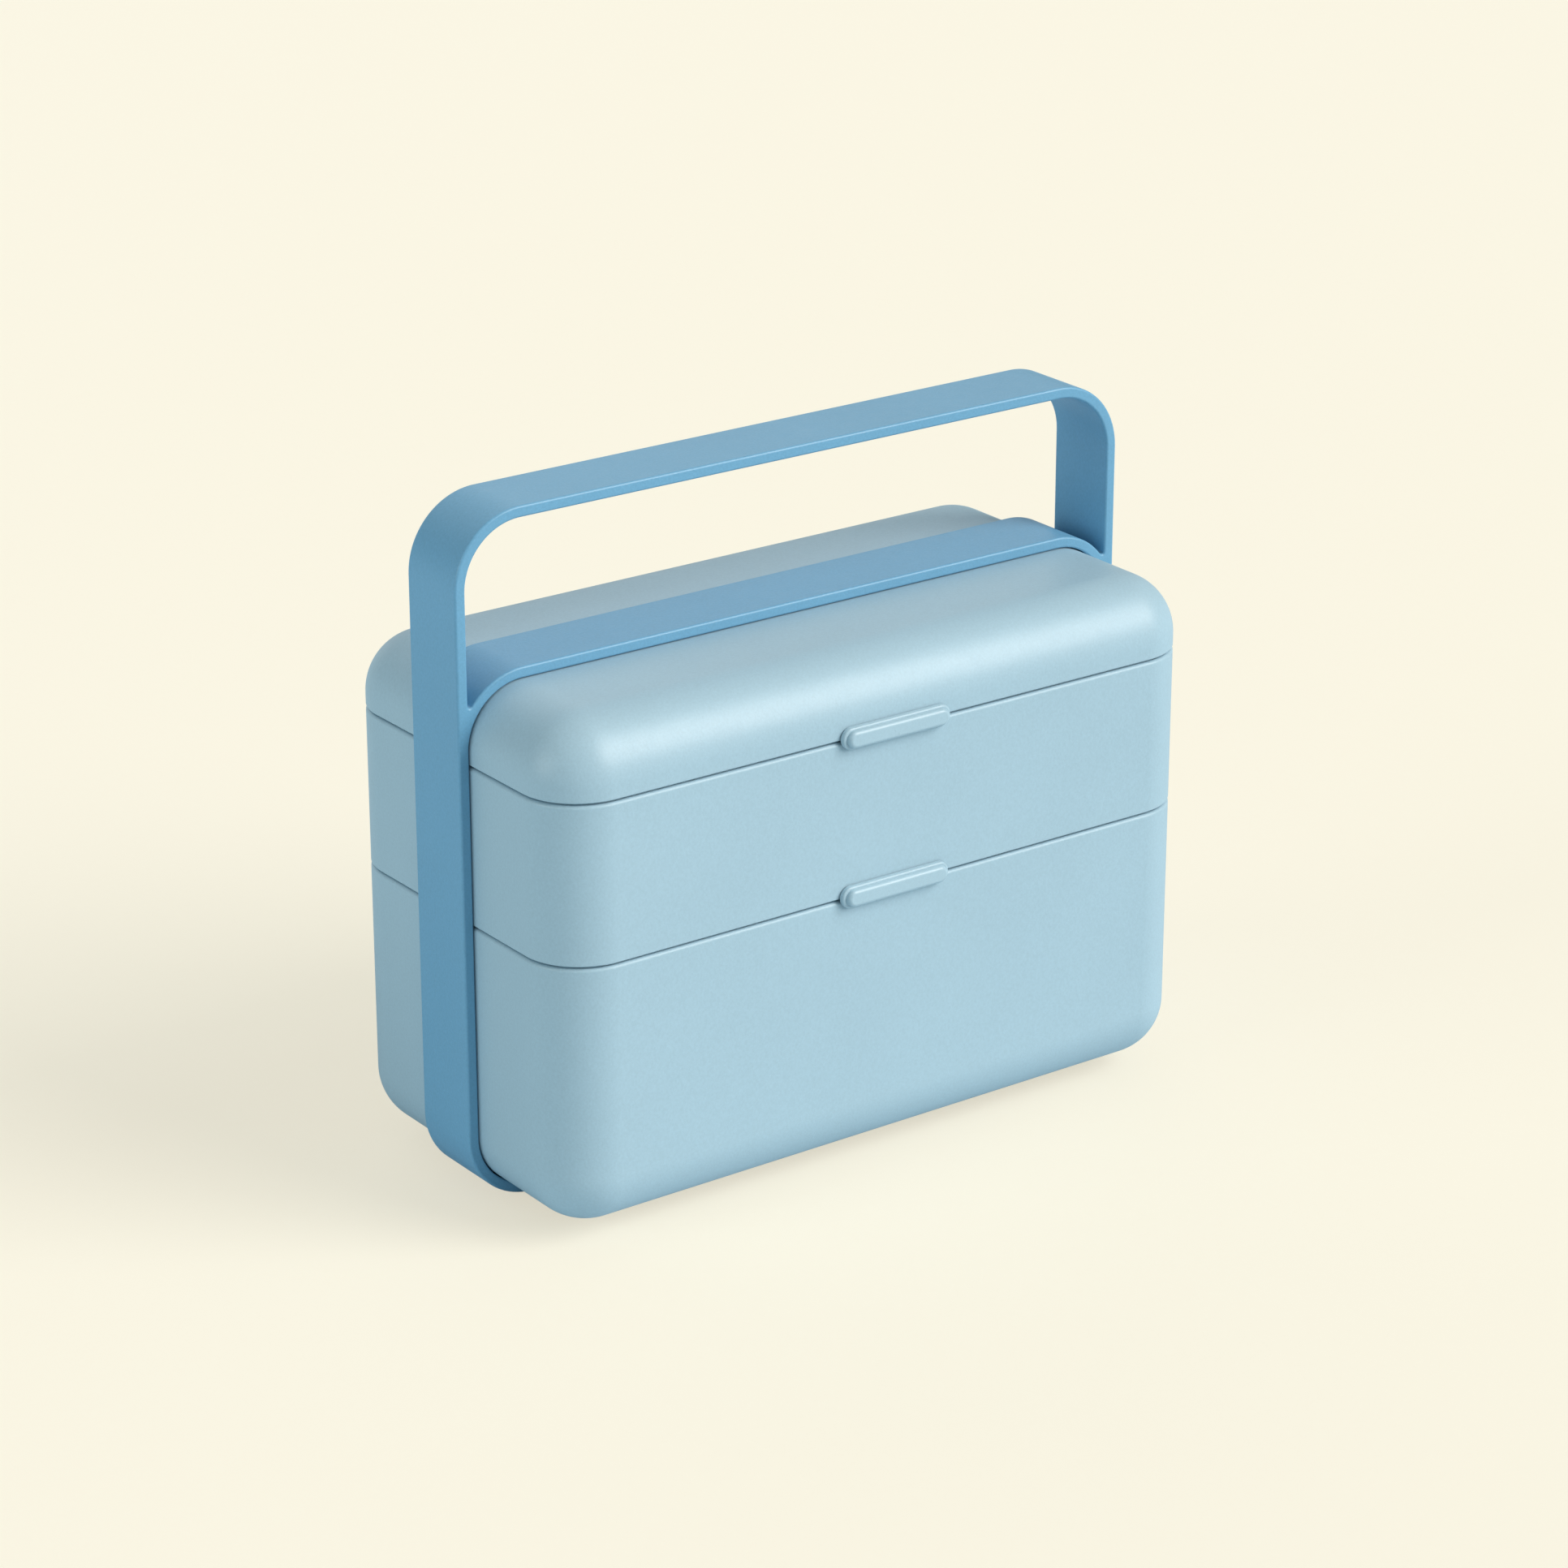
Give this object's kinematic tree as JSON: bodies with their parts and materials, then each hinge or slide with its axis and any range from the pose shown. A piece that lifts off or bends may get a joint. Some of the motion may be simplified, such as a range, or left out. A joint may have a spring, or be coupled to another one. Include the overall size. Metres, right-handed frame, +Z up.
{
  "type": "bento lunch box",
  "caption": "Two-tier rounded lunch box with domed cover, front pull tabs on its inner lids, and an elastic carry strap with a handle loop.",
  "frame": {"origin": "centre of the strap's underside, level with the foot rail on which the box stands", "axes": "+X along the box's long side, -Y towards the front with the pull tabs, +Z up"},
  "size_m": [0.192, 0.0958, 0.1705],
  "materials": {
    "shell": "satin moulded",
    "lid": "satin moulded",
    "seal": "soft silicone",
    "insert": "satin moulded",
    "cutlery": "satin moulded",
    "strap": "matte elastomer"
  },
  "bodies": {
    "lower_container": {"lower_container": "shell"},
    "carry_strap": {"carry_strap": "strap"},
    "lower_divider": {"lower_divider": "insert"},
    "lower_inner_lid": {"lower_inner_lid": "lid", "lower_lid_gasket": "seal"},
    "lower_vent_plug": {"lower_vent_plug": "seal"},
    "upper_container": {"upper_container": "shell"},
    "upper_inner_lid": {"upper_inner_lid": "lid", "upper_lid_gasket": "seal"},
    "upper_vent_plug": {"upper_vent_plug": "seal"},
    "cutlery_tray": {"cutlery_tray": "insert"},
    "knife": {"knife": "cutlery"},
    "fork": {"fork": "cutlery"},
    "spoon": {"spoon": "cutlery"},
    "top_cover": {"top_cover": "shell"}
  },
  "joints": [
    {"name": "strap_slide", "type": "slide", "parent": "lower_container", "child": "carry_strap", "axis": [0, 1, 0], "range_m": [-0.065, 0.065], "deforming": ["carry_strap"]},
    {"name": "divider_lift", "type": "slide", "parent": "lower_container", "child": "lower_divider", "axis": [0, 0, 1], "range_m": [0, 0.17], "deforming": ["carry_strap"]},
    {"name": "lower_lid_lift", "type": "slide", "parent": "lower_divider", "child": "lower_inner_lid", "axis": [0, 0, 1], "range_m": [0, 0.115], "deforming": ["carry_strap"]},
    {"name": "lower_vent_pull", "type": "slide", "parent": "lower_inner_lid", "child": "lower_vent_plug", "axis": [0, 0, 1], "range_m": [0, 0.0025]},
    {"name": "upper_container_lift", "type": "slide", "parent": "lower_inner_lid", "child": "upper_container", "axis": [0, 0, 1], "range_m": [0, 0.11], "deforming": ["carry_strap"]},
    {"name": "upper_lid_lift", "type": "slide", "parent": "upper_container", "child": "upper_inner_lid", "axis": [0, 0, 1], "range_m": [0, 0.075], "deforming": ["carry_strap"]},
    {"name": "upper_vent_pull", "type": "slide", "parent": "upper_inner_lid", "child": "upper_vent_plug", "axis": [0, 0, 1], "range_m": [0, 0.0025]},
    {"name": "tray_lift", "type": "slide", "parent": "upper_inner_lid", "child": "cutlery_tray", "axis": [0, 0, 1], "range_m": [0, 0.075], "deforming": ["carry_strap"]},
    {"name": "knife_lift", "type": "slide", "parent": "cutlery_tray", "child": "knife", "axis": [0, 0, 1], "range_m": [0, 0.07], "deforming": ["carry_strap"]},
    {"name": "fork_lift", "type": "slide", "parent": "knife", "child": "fork", "axis": [0, 0, 1], "range_m": [0, 0.07], "deforming": ["carry_strap"]},
    {"name": "spoon_lift", "type": "slide", "parent": "fork", "child": "spoon", "axis": [0, 0, 1], "range_m": [0, 0.07], "deforming": ["carry_strap"]},
    {"name": "cover_lift", "type": "slide", "parent": "spoon", "child": "top_cover", "axis": [0, 0, 1], "range_m": [0, 0.07], "deforming": ["carry_strap"]}
  ]
}
